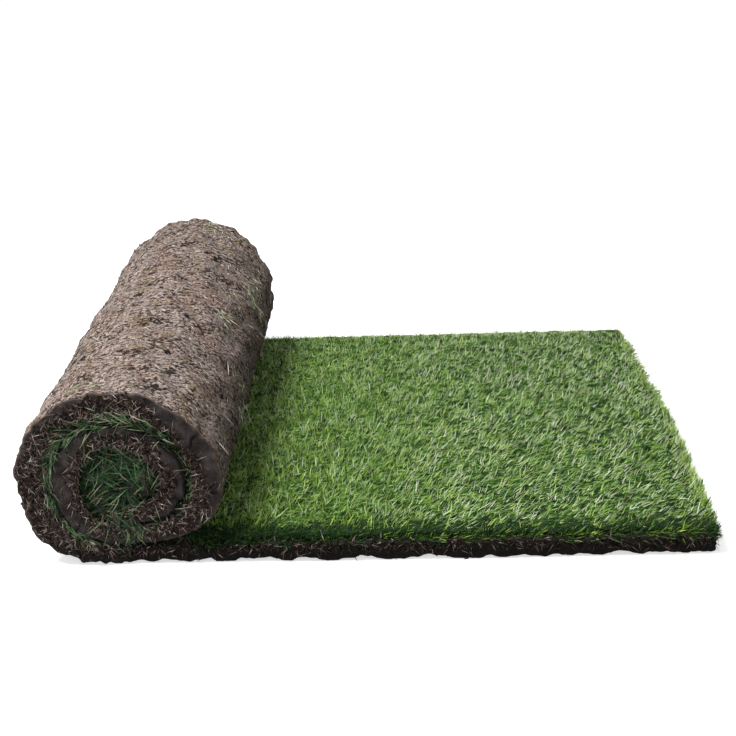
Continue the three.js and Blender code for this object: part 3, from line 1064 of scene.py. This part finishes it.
def soil_points(line, row, across_share, depth):
    """The flat strip's points with their relief, and what the finishes and strands read there."""
    settings = bpy.context.scene.turf_soil
    at = SimpleNamespace(**{name: column[row] for name, column in vars(line).items()})
    across = (across_share - 0.5) * TURF_WIDTH
    place = np.stack([at.along, across, depth * at.mat], 1)
    above_floor = at.spot[:, 1] + at.inward[:, 1] * place[:, 2]
    near_floor = smooth(0.022, 0.004, above_floor)
    outermost = (1 - smooth(0.98, 1.06, at.turn)) * at.in_roll
    near, far = across_share == 0, across_share == 1
    below, above = depth == 0, depth == 1
    cut_end, inner_end = row == 0, row == len(line.along) - 1
    cut = near | far | cut_end | inner_end
    to_side = HALF - np.abs(across)

    broad = settings.lump_height * lumps(at, across) * (1 - depth)
    skin, hollow = outside_relief(at, place, below)
    skin = skin * below * outermost
    face, smooth_soil = cut_relief(at, place, depth, near, far)

    # The lower corner is broken away unevenly where the strip lies on the floor.
    broken = np.clip(0.35 + grain(place * (1, 1, 0) + (0, 0, 8), 0.026), 0, 1) * 0.0065
    by_edge = smooth(0.020, 0.0, np.minimum(to_side, at.along))
    lift = broken * by_edge * (1 - smooth(0, 0.5, depth))

    # By the ends of the roll the turns' own lines are ragged.
    frayed = 0.0032 * grain(place + (6, 6, 0), 0.016, 2)
    frayed *= np.exp(-to_side / 0.007) * at.in_roll

    points = place.copy()
    shift = lift * near_floor - broad - skin - frayed
    points[:, 2] += shift + above * 0.0012 * grain(place, 0.02, 2)
    points[:, 1] += face * (1.0 * far - near)
    points[:, 0] += face * (1.0 * inner_end - cut_end)
    points[:, 0] += corner_wear(at.along, across)

    fray = grain(place, 0.009, 2)
    heading, inward = upright(at.heading), upright(at.inward)
    side = (1.0 * far - near)[:, None] * (0, 1, 0) - heading * cut_end[:, None]
    on_skin = (below & ~cut) * outermost * (at.spot[:, 1] > 0.006)
    towards_tail = smooth(0.56, 0.80, at.turn) * outermost
    wisps = np.zeros(len(row))
    for turn, middle, radius in WISPS:
        off = np.hypot(at.along - along_at(turn), across - middle) / radius
        wisps = np.maximum(wisps, np.exp(-(off**2)))
    flat = ~at.in_roll
    # Darker where the soil is damp, and painted shade as well: near the floor, along the tail's cut
    # edges, on the roll's outside towards the tail and under the hidden turns. It is also a little
    # darker towards the far end.
    damp = np.maximum.reduce([
        0.72 * smooth(0.050, 0.010, above_floor),
        smooth(0.040, 0.022, above_floor) * flat,
        0.70 * towards_tail * below,
        1.0 * (at.turn > 1) * below,
        0.25 * smooth(0.0, 0.30, across) * below * outermost,
    ])
    in_thatch = (
        cut * (0.12 + 0.88 * (1 - smooth_soil * at.in_roll)) * smooth(0.0, 0.35, depth)
        * (1 - 0.95 * near_floor) * np.where(flat, 0.1 + 0.9 * smooth(0.10, 0.90, depth), 1)
        * (1 - 0.8 * smooth(0.24, 0.10, at.turn) * at.in_roll * (depth < 0.6))
    )
    rim = smooth(0.10, 0.0, depth + 0.08 * fray) * (at.turn > 0.15) * (at.turn < 0.95)
    patches = grain(place, 0.030, 2)
    columns = {
        "place": place,
        "hollow": hollow,
        "smooth_soil": smooth_soil * cut,
        "damp": damp,
        "rim": rim * 0.6,
        "tall": np.ones(len(row)),
        # Painted shade: the root ends darken on the roll's side towards the tail.
        "tint": np.clip(0.52 + 0.25 * patches - 0.3 * towards_tail, 0, 1),
        # Stems and crumbs darken near the floor and on the tail's edges: damp soil and painted
        # shade.
        "stem_tint": np.clip(0.38 + 0.3 * fray - 0.15 * near_floor - 0.25 * flat, 0, 1),
        "crumb_tint": np.clip(0.50 + 0.25 * fray - 0.35 * near_floor - 0.40 * flat, 0, 1),
        "pale": np.full(len(row), 0.86),
        "on_skin": on_skin * np.clip(0.7 + 0.9 * grain(place + (2, 0, 0), 0.035, 2), 0.1, 1.6),
        "in_thatch": in_thatch,
        "on_cut": cut * (0.05 + 0.95 * (1 - smooth_soil)) * smooth(-0.02, 0.14, depth),
        "on_fringe": cut * flat * smooth(0.5, 0.9, depth),
        "with_wisps": wisps * on_skin,
        "comb": heading * math.cos(STREAK_TURN) - (0, math.sin(STREAK_TURN), 0) - inward * 0.10,
        "bristle": side * 0.6 + inward * 0.15 - (0, 0, 0.30),
        "hang": side * 0.35 - (0, 0, 1.0),
    }
    return points, columns


def make_soil_mat():
    """The strip with its relief, modelled flat and then wound up."""
    settings = bpy.context.scene.turf_soil
    tail = np.arange(TAIL_STEP, TAIL_LENGTH, TAIL_STEP)
    wound = np.arange(TAIL_LENGTH, STRIP_END, WOUND_STEP)
    line = stations(np.concatenate([[0], tail, wound, [STRIP_END]]))
    at_cut = line.along == 0
    fine = (line.in_roll & (line.turn < 1.04)) | at_cut
    row, across_share, depth, faces = strip_grid(*MAT_GRID, fine, at_cut)
    points, columns = soil_points(line, row, across_share, depth)
    flat = closed_mesh("flat_strip", points, faces)
    write_attributes(flat, columns)
    # A face belongs to the cut edge when none of its corners is clear of it.
    on_cut = (across_share == 0) | (across_share == 1) | (row == 0) | (row == row.max())
    edged = [bool(on_cut[list(face.vertices)].all()) for face in flat.polygons]
    flat.attributes.new("cut_face", "BOOLEAN", "FACE").data.foreach_set("value", edged)
    guide = underside_line()
    mesh = run_tree(winding_tree(), "soil_mat", flat, {
        "Underside line": guide, "Line lead": LINE_LEAD, "Tail length": TAIL_LENGTH,
        "Strip width": TURF_WIDTH, "Roll height": 2 * float(CENTRE[1]),
        "Far end rise": FAR_END_RISE, "Outside finish": matted_roots(settings),
        "Cut finish": cut_edge(settings),
    })
    bpy.data.objects.remove(guide)
    declare(link(mesh, SOIL_PIECE), "soil_mat")


def make_soil_strands(ground):
    """Root ends, dead stems, crumbs and green wisps on the soil mat's mesh."""
    settings = bpy.context.scene.turf_soil
    dead = dead_strand()
    curled = shape_set("root", sliver, (0.08, 0.16, 0.24, -0.12))
    crooked = shape_set("stem", sliver, (0.08, 0.20, 0.32, -0.25))
    lumpy = shape_set("crumb", crumb, range(900, 905))
    strands = (
        # Root ends lie almost flat on the mat, combed one way.
        scatter(
            "root_fibres", ground, curled, dead, Per_square_metre=settings.root_density,
            Share="on_skin", Growth="comb", Shortest=0.004, Longest=settings.root_length,
            Narrowest=0.0005, Widest=0.0013, Spread=1.10, Flatten=0.95, Tint_spread=0.5, Seed=100,
        ),
        scatter(
            "dead_straws", ground, curled, dead, Per_square_metre=650.0, Share="on_skin",
            Tint="pale", Growth="comb", Shortest=0.014, Longest=0.030, Narrowest=0.0007,
            Widest=0.0013, Spread=1.2, Flatten=0.95, Tint_spread=0.12, Seed=110,
        ),
        scatter(
            "thatch_stems", ground, crooked, dead, Per_square_metre=settings.stem_density,
            Share="in_thatch", Tint="stem_tint", Growth="bristle", Shortest=0.003,
            Longest=settings.stem_length, Narrowest=0.0003, Widest=0.0008, Spread=0.95,
            Flatten=0.60, Tint_spread=0.45, Seed=200,
        ),
        scatter(
            "hanging_stems", ground, crooked, dead, Per_square_metre=16000.0, Share="on_fringe",
            Tint="stem_tint", Growth="hang", Shortest=0.006, Longest=0.014, Narrowest=0.0004,
            Widest=0.0009, Spread=0.90, Tint_spread=0.50, Seed=210,
        ),
        scatter(
            "thatch_crumbs", ground, lumpy, peat_crumb(), Share="on_cut", Tint="crumb_tint",
            Per_square_metre=settings.crumb_density, Growth="bristle", Shortest=0.0014,
            Longest=0.0056, Narrowest=0.0014, Widest=0.0050, Spread=3.0, Tint_spread=0.45,
            Seed=300,
        ),
    )
    for piece in strands:
        declare(piece, "soil_mat")
    wisps = scatter(
        "caught_wisps", ground, curled, pressed_leaf(), Per_square_metre=60000.0,
        Share="with_wisps", Growth="comb", Shortest=0.006, Longest=0.020, Narrowest=0.0008,
        Widest=0.0016, Spread=1.0, Flatten=0.93, Tint="pale", Tint_spread=0.30, Seed=120,
    )
    declare(wisps, "grass")


# ---------------------------------------------------------------------------------------------
# The grass.


SWARD_GRID = (76, 3, 4)  # the same for the undergrowth


def make_undergrowth():
    """The dense foot of the sward, which also fills the gap between the turns."""
    tail = np.arange(0.006, TAIL_LENGTH, 0.0055)
    wound = np.arange(TAIL_LENGTH, STRIP_END, 0.0048)
    line = stations(np.concatenate([tail, wound, [STRIP_END]]))
    root, growth, room = grass_room(line)
    # The lowest of three neighbours, so that nothing cuts across the corner of the inner end.
    room = np.minimum.reduce([room, np.append(room[1:], room[-1]), np.append(room[0], room[:-1])])
    everywhere = np.ones(len(room), bool)
    ends = ~everywhere
    ends[[0, -1]] = True
    row, across_share, depth, faces = strip_grid(*SWARD_GRID, ends, everywhere)
    side = across_share * 2 - 1
    in_roll = smooth(TAIL_LENGTH - 0.05, TAIL_LENGTH + 0.05, line.along[row])
    in_core = smooth(TOTAL_TURNS - 1.06, TOTAL_TURNS - 0.94, line.turn[row])
    place = np.stack([line.along[row], side * HALF, depth * LAWN], 1)
    recess = 0.004 + 0.003 * in_roll + 0.0025 * grain(place, 0.012, 2) + 0.012 * in_core * depth
    recess += 0.006 * (side < 0) * (1 - in_roll)
    tufted = 0.32 * LAWN + 0.0040 * grain(place, 0.011) * (depth == 1)
    tufted *= 1 - 0.5 * smooth(0.90, 1.0, side)
    stand = np.where(in_roll > 0.5, room[row], np.minimum(room[row], tufted))
    rise = growth[row] * (depth * np.maximum(stand, 0.0006))[:, None]
    points = risen(upright(root[row] + rise, side * (HALF - recess)), line.in_roll[row])
    points[:, 0] -= corner_wear(line.along[row], side * HALF)
    mesh = closed_mesh("undergrowth", points, faces)
    # Painted shade for the leaf bases between the turns and along the tail's front edge.
    pressed = np.maximum(in_roll, smooth(-0.87, -0.97, side))
    write_attributes(mesh, {"place": place, "pressed": pressed})
    mesh.materials.append(leaf_bases())
    declare(link(mesh, "grass_undergrowth"), "grass")


# Zones of the tail: how far from their own edge each fades out, and from where it is full.
LEANING_OUT = (0.036, 0.006)  # the front edge's blades, which lean out over it
DRAPED = (0.009, 0.002)  # the outermost of them, which hang down
FRONT_SHADE = (0.040, 0.012)  # painted shade: blades tinted dark along the front edge
FRONT_BARE = (0.008, 0.002)
CUT_EDGE = (0.030, 0.0)
FAR_EDGE = (0.070, 0.0)
FAR_CORNER = (0.110, 0.0)
RIM = (0.030, 0.0)  # all round


def tail_ground(first, last, name):
    """A patch of the tail's surface with the lean, height and tint of its blades."""
    along = np.linspace(first, last, max(int((last - first) / 0.004), 2))
    across = np.linspace(-HALF + 0.0015, HALF - 0.0015, 150)
    grid_along, grid_across = (g.ravel() for g in np.meshgrid(along, across, indexing="ij"))
    from_front, from_back = grid_across + HALF, HALF - grid_across
    line = stations(grid_along)
    room = grass_room(line)[2]
    x = line.spot[:, 0]
    place = np.stack([grid_along, grid_across, grid_along * 0], 1)
    patches = grain(place + (4, 4, 0), 0.055, 3)
    tufts = grain(place + (8, 0, 0), 0.012, 2)

    front = smooth(*LEANING_OUT, from_front)
    draped = smooth(*DRAPED, from_front)
    shaded_front = smooth(*FRONT_SHADE, from_front + 0.008 * grain(place, 0.020, 2))
    bare = smooth(*FRONT_BARE, from_front + 0.010 * grain(place, 0.016, 2))
    by_cut = smooth(*CUT_EDGE, grid_along)
    back = smooth(*FAR_EDGE, from_back)
    worn = smooth(*FAR_CORNER, np.hypot(grid_along, from_back))
    rim = smooth(*RIM, np.minimum(grid_along, HALF - np.abs(grid_across)))
    in_front = smooth(0.25, -0.30, grid_across)
    next_to_roll = smooth(ROLL_X + 0.22, ROLL_X + 0.13, x)

    # The sward leans the way it was rolled out, most of all by the cut end, and flattest in
    # front. The blades of the front edge lean out a little, and those of the far edge are short.
    combed = smooth(ROLL_X + 0.14, ROLL_X + 0.44, x)
    clump = np.stack([grain(place + (0, 0, 3 * i), 0.013, 2) for i in range(2)], 1)
    clump *= (1.10 - 0.50 * combed)[:, None]
    growth = np.stack([
        0.25 + 0.20 * in_front + (0.65 + 0.20 * in_front) * combed,
        0.12 + 0.12 * combed,
        0.58 - (0.04 + 0.12 * in_front) * combed,
    ], 1)
    growth[:, :2] += clump
    growth[:, 1] -= 0.55 * front + 0.30 * draped
    growth[:, 2] += 0.12 * front - 0.45 * draped
    growth[:, 0] *= (1 - 0.6 * back) * (1 - 0.7 * worn) * (1 - 0.45 * by_cut) * (1 - 0.35 * front)

    # Tint: patches and tufts at random. Paler and bluer where combed, as painted sheen; paler on
    # the far half and next to the roll, as painted light; darker by the cut end, as painted shade.
    tint = 0.41 + 0.24 * patches + 0.16 * tufts + (0.38 + 0.04 * in_front) * combed
    tint = tint + 0.12 * (1 - in_front) + 0.10 * next_to_roll - 0.42 * by_cut
    columns = {
        "growth": growth,
        "share": smooth(0.002, 0.010, room) * np.clip(1 + 0.6 * tufts, 0.2, 2.0)
        * (1 + 0.5 * back) * (1 + 0.6 * by_cut) * (1 + 0.7 * front) * (1 - bare)
        * (1.06 - 0.12 * in_front),
        "tall": np.clip(room / LAWN, 0.15, 1) * (1 + (0.24 + 0.16 * rim) * tufts)
        * (1 - 0.30 * back - 0.20 * worn - 0.20 * front) * (0.84 + 0.21 * in_front),
        # Painted shade: blades along the front edge, most of all those draped over it, and the
        # draped dead straws are tinted dark.
        "tint": np.clip(tint, 0, 1) - 0.70 * shaded_front - 0.35 * draped,
        "dead": np.clip(0.58 + 0.3 * patches - 0.25 * draped, 0, 1),
        "straws": np.clip(0.6 - 1.3 * patches, 0.10, 1.5) + 4 * draped,
    }
    points = upright(line.spot + line.inward * (line.mat - 0.001)[:, None], grid_across)
    points[:, 0] -= corner_wear(grid_along, grid_across)
    return ground_mesh(name, points, columns, len(across))


def make_sward():
    """The blades and dead straws on the tail, in three pieces along it."""
    settings = bpy.context.scene.turf_grass
    leaf, dead = living_leaf(), dead_strand()
    blades = shape_set("blade", sliver, (0.10, 0.18, 0.26, 0.34, 0.42, -0.15))
    bands = np.linspace(0.0005, TAIL_LENGTH - 0.012, 4)
    for i, (first, last) in enumerate(zip(bands, bands[1:])):
        ground = tail_ground(first, last, f"tail_ground_{i}")
        sward = scatter(
            f"grass_blades_{('cut_end', 'middle', 'by_the_roll')[i]}", ground, blades, leaf,
            Per_square_metre=settings.density, Shortest=0.006, Longest=settings.length,
            Narrowest=0.0004, Widest=0.0011, Spread=settings.spread, Tint_spread=0.46,
            Seed=settings.seed + 17 * i,
        )
        straws = scatter(
            f"sward_straws_{i}", ground, blades, dead, Per_square_metre=12000.0, Share="straws",
            Tint="dead", Shortest=0.006, Longest=0.022, Narrowest=0.0004, Widest=0.0009,
            Spread=1.00, Flatten=0.10, Tint_spread=0.40, Seed=settings.seed + 40 + i,
        )
        for piece in (sward, straws):
            declare(piece, "grass")


def end_ground(end):
    """What the grass between the turns and in the core fills at one end of the roll.

    It reaches from the mat to the next turn or to the bore; end is -1 for the near one.
    """
    along = np.arange(TAIL_LENGTH + 0.002, STRIP_END, 0.003)
    share = np.linspace(0.05, 1.0, 7)
    grid_along, grid_share = (g.ravel() for g in np.meshgrid(along, share, indexing="ij"))
    line = stations(grid_along)
    root, toward_centre, room = grass_room(line)
    spot = root + toward_centre * (room * grid_share)[:, None]
    in_core = smooth(TOTAL_TURNS - 1.06, TOTAL_TURNS - 0.98, line.turn)
    tight = smooth(0.016, 0.003, room)
    recess = 0.004 + in_core * (0.003 + 0.013 * grid_share**2)
    points = risen(upright(spot, end * (HALF - recess)), line.in_roll)
    # Between two turns the blades are pressed back along the strip, towards its cut end: a ring
    # that is loose and paler over the top, and thin on the tail's side. In the core each tuft lies
    # its own way across the hollow.
    turned = math.tau * (0.15 + 1.1 * grain(points, 0.024, 2))
    hollow = np.stack([np.cos(turned), np.sin(turned)], 1)
    over_the_top = np.exp(-(((line.turn - 0.53) / 0.07) ** 2))
    sideways = (0.9 + 1.2 * over_the_top) * grain(points + (3, 0, 0), 0.016, 2)
    pressed = toward_centre * sideways[:, None]
    pressed -= line.heading * (1.0 + 0.7 * grain(points + (0, 0, 3), 0.018, 2))[:, None]
    growth = upright(pressed + (1.2 * hollow + 1.1 * toward_centre - pressed) * in_core[:, None])
    growth[:, 1] = end * (0.50 + 0.30 * tight - 0.30 * in_core)
    spilling = smooth(0.84, 0.95, line.turn) * smooth(1.12, 1.02, line.turn)
    spilling += smooth(0.17, 0.05, line.turn)
    growth[:, ::2] += spilling[:, None] * ((0.5, -1.2) - growth[:, ::2])
    thin = smooth(0.58, 0.70, line.turn) * smooth(1.0, 0.9, line.turn)
    gaps = np.clip(1 + 1.1 * grain(points + (0, 7, 0), 0.016, 2) * (1 - in_core), 0.15, 2)
    columns = {
        "growth": growth,
        "share": smooth(0.001, 0.003, room) * gaps * (1 - 0.55 * thin)
        * (0.75 + 0.9 * tight + 1.5 * spilling + (0.20 - 0.5 * grid_share) * in_core),
        "tall": 0.84 + 0.20 * grain(points + (1, 0, 0), 0.02, 2) - 0.22 * thin
        - 0.30 * tight + 0.40 * in_core,
        # Painted shade: in the core the blades darken towards the bore, and the dead stems are
        # darker too.
        "tint": np.clip(
            0.41 + 0.35 * grain(points + (0, 3, 0), 0.016, 2) + 0.20 * over_the_top + 0.12 * spilling
            - (0.07 + 0.48 * grid_share) * in_core, 0, 1
        ),
        "dead": np.clip(0.50 + 0.5 * grain(points + (0, 5, 0), 0.02, 2) - 0.24 * in_core, 0, 1),
    }
    return ground_mesh("roll_end_ground", points, columns, len(share))


def make_wound_grass():
    """The blades and dead stems that show between the turns at the roll's two ends."""
    settings = bpy.context.scene.turf_grass
    leaf, dead = pressed_leaf(), dead_strand()
    long_blades = shape_set("long_blade", long_blade, (0.1, 0.35, 0.55, -0.3))
    stems = shape_set("dead_stem", sliver, (0.10, 0.24, -0.20))
    for name, end in (("near", -1), ("far", 1)):
        ground = end_ground(end)
        wound = scatter(
            f"wound_grass_{name}_end", ground, long_blades, leaf, Shortest=0.010, Tint_spread=0.50,
            Per_square_metre=settings.wound_density, Longest=settings.wound_length,
            Narrowest=0.0007, Widest=0.0014, Spread=0.75, Flatten=0.65,
            Seed=settings.seed + 60 + end,
        )
        stray = scatter(
            f"dead_stems_{name}_end", ground, stems, dead, Shortest=0.008, Tint_spread=0.40,
            Per_square_metre=settings.wound_density * 0.30, Longest=0.026, Narrowest=0.0006,
            Widest=0.0012, Spread=0.90, Flatten=0.50, Tint="dead", Seed=settings.seed + 70 + end,
        )
        for piece in (wound, stray):
            declare(piece, "grass")


# ---------------------------------------------------------------------------------------------
# The stage.

CAMERA_PLACE = (0.0684, -1.5364, 0.7788)
CAMERA_PITCH, CAMERA_YAW, CAMERA_ROLL = (math.radians(a) for a in (23.70, -2.76, -2.51))
KEY_PLACE, KEY_SIZE = (-1.0, -0.55, 2.25), 1.0  # the large lamp, above and to the left
FLOOR_HALF, FLOOR_HEIGHT = 12, -0.0005


def make_camera(lens):
    """Looks down on the near end of the roll and along the tail."""
    ahead = Vector((
        math.sin(CAMERA_YAW) * math.cos(CAMERA_PITCH),
        math.cos(CAMERA_YAW) * math.cos(CAMERA_PITCH),
        -math.sin(CAMERA_PITCH),
    ))
    right = Vector((math.cos(CAMERA_YAW), -math.sin(CAMERA_YAW), 0))
    above = right.cross(ahead)
    across = math.cos(CAMERA_ROLL) * right + math.sin(CAMERA_ROLL) * above
    upward = -math.sin(CAMERA_ROLL) * right + math.cos(CAMERA_ROLL) * above
    camera = bpy.data.cameras.new("camera")
    camera.lens = lens
    camera.sensor_width = 36
    holder = link(camera, "camera")
    turned = Matrix((across, upward, -ahead)).transposed().to_4x4()
    holder.matrix_world = Matrix.Translation(CAMERA_PLACE) @ turned
    bpy.context.scene.camera = holder


def make_key_lamp(power):
    """One large soft disc, which looks at the middle of the part."""
    lamp = bpy.data.lights.new("key", "AREA")
    lamp.shape = "DISK"
    lamp.size = KEY_SIZE
    lamp.energy = power
    holder = link(lamp, "key")
    holder.location = KEY_PLACE
    sight = Vector((0, 0, 0.05)) - Vector(KEY_PLACE)
    holder.rotation_euler = sight.to_track_quat("-Z", "Y").to_euler()


def make_floor():
    """A plain pale floor that reads as white, and darkens only where the object shades it."""
    mesh = bpy.data.meshes.new("floor")
    signs = ((-1, -1), (1, -1), (1, 1), (-1, 1))
    mesh.from_pydata([(x * FLOOR_HALF, y * FLOOR_HALF, 0) for x, y in signs], [], [(0, 1, 2, 3)])
    material, tree = new_material("pale_floor")
    seen = add(tree, "ShaderNodeLightPath")["Is Camera Ray"]
    lit = add(tree, "ShaderNodeBsdfDiffuse", {"Color": linear("#e6e6e6")})[0]
    glow = add(tree, "ShaderNodeEmission", {"Color": (1, 1, 1, 1), "Strength": 0.62})[0]
    both = add(tree, "ShaderNodeAddShader", {0: lit, 1: glow})[0]
    shown = add(tree, "ShaderNodeMixShader", {0: seen, 1: lit, 2: both})[0]
    add(tree, "ShaderNodeOutputMaterial", {"Surface": shown})
    mesh.materials.append(material)
    floor = link(mesh, "floor")
    floor.location.z = FLOOR_HEIGHT


def make_world(fill):
    """A soft even light, which reads as white to the camera, to gloss and through glass."""
    world = bpy.data.worlds.new("soft_studio")
    bpy.context.scene.world = world
    world.use_nodes = True
    tree = world.node_tree
    tree.nodes.clear()
    path = add(tree, "ShaderNodeLightPath")
    plain = {0: path["Is Camera Ray"], 1: path["Is Glossy Ray"]}
    plain = add(tree, "ShaderNodeMath", plain, operation="MAXIMUM")[0]
    plain = {0: plain, 1: path["Is Transmission Ray"]}
    plain = add(tree, "ShaderNodeMath", plain, operation="MAXIMUM")[0]
    soft = add(tree, "ShaderNodeBackground", {"Color": (1, 1, 1, 1), "Strength": fill})[0]
    white = add(tree, "ShaderNodeBackground", {"Color": (1, 1, 1, 1), "Strength": 1.0})[0]
    shown = add(tree, "ShaderNodeMixShader", {0: plain, 1: soft, 2: white})[0]
    add(tree, "ShaderNodeOutputWorld", {"Surface": shown})


# ---------------------------------------------------------------------------------------------
# Operators, panel and registration.


class TURF_OT_soil_mat(bpy.types.Operator):
    """Build the soil mat, wound up, with its torn outside and its cut edges"""

    bl_idname = "turf.soil_mat"
    bl_label = "Soil mat"

    def execute(self, context):
        make_soil_mat()
        return {"FINISHED"}


class TURF_OT_roots_and_thatch(bpy.types.Operator):
    """Scatter root ends, dead stems, crumbs and green wisps over the soil mat"""

    bl_idname = "turf.roots_and_thatch"
    bl_label = "Roots and thatch"

    def execute(self, context):
        mat = context.scene.objects.get(SOIL_PIECE)
        if mat is None:
            raise RuntimeError("The soil mat has to be built first")
        make_soil_strands(mat.data)
        return {"FINISHED"}


class TURF_OT_undergrowth(bpy.types.Operator):
    """Build the dense foot of the sward and the grass pressed between the turns"""

    bl_idname = "turf.undergrowth"
    bl_label = "Undergrowth"

    def execute(self, context):
        make_undergrowth()
        return {"FINISHED"}


class TURF_OT_sward(bpy.types.Operator):
    """Grow the blades on the flat tail"""

    bl_idname = "turf.sward"
    bl_label = "Sward on the tail"

    def execute(self, context):
        make_sward()
        return {"FINISHED"}


class TURF_OT_wound_grass(bpy.types.Operator):
    """Grow the blades that show at the roll's two ends"""

    bl_idname = "turf.wound_grass"
    bl_label = "Grass at the roll's ends"

    def execute(self, context):
        make_wound_grass()
        return {"FINISHED"}


class TURF_OT_stage(bpy.types.Operator):
    """Set up the floor, the lamps, the surrounding light and the camera"""

    bl_idname = "turf.stage"
    bl_label = "Stage"

    def execute(self, context):
        settings = context.scene.turf_stage
        make_camera(settings.lens)
        make_floor()
        make_world(settings.fill)
        make_key_lamp(settings.key_power)
        context.scene.view_settings.view_transform = "Standard"
        return {"FINISHED"}


class TURF_PT_panel(bpy.types.Panel):
    """Lists the turf roll's settings and builders"""

    bl_label = "Turf roll"
    bl_idname = "TURF_PT_panel"
    bl_space_type = "VIEW_3D"
    bl_region_type = "UI"
    bl_category = "Turf"

    def draw(self, context):
        for group, operators in PANEL_ROWS:
            box = self.layout.box()
            settings = getattr(context.scene, group)
            for name in settings.__annotations__:
                box.prop(settings, name)
            for operator in operators:
                box.operator(operator)


PANEL_ROWS = (
    ("turf_soil", ("turf.soil_mat", "turf.roots_and_thatch")),
    ("turf_grass", ("turf.undergrowth", "turf.sward", "turf.wound_grass")),
    ("turf_stage", ("turf.stage",)),
)
GROUPS = {"turf_soil": TURF_PG_soil, "turf_grass": TURF_PG_grass, "turf_stage": TURF_PG_stage}
CLASSES = (
    *GROUPS.values(),
    TURF_OT_soil_mat,
    TURF_OT_roots_and_thatch,
    TURF_OT_undergrowth,
    TURF_OT_sward,
    TURF_OT_wound_grass,
    TURF_OT_stage,
    TURF_PT_panel,
)


def register():
    for cls in CLASSES:
        bpy.utils.register_class(cls)
    for name, group in GROUPS.items():
        setattr(bpy.types.Scene, name, PointerProperty(type=group))


def unregister():
    for name in GROUPS:
        delattr(bpy.types.Scene, name)
    for cls in reversed(CLASSES):
        bpy.utils.unregister_class(cls)


def main():
    """Builds everything."""
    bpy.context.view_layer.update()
    register()
    bpy.ops.turf.stage()
    bpy.ops.turf.soil_mat()
    bpy.ops.turf.roots_and_thatch()
    bpy.ops.turf.undergrowth()
    bpy.ops.turf.sward()
    bpy.ops.turf.wound_grass()


if __name__ == "__main__":
    main()
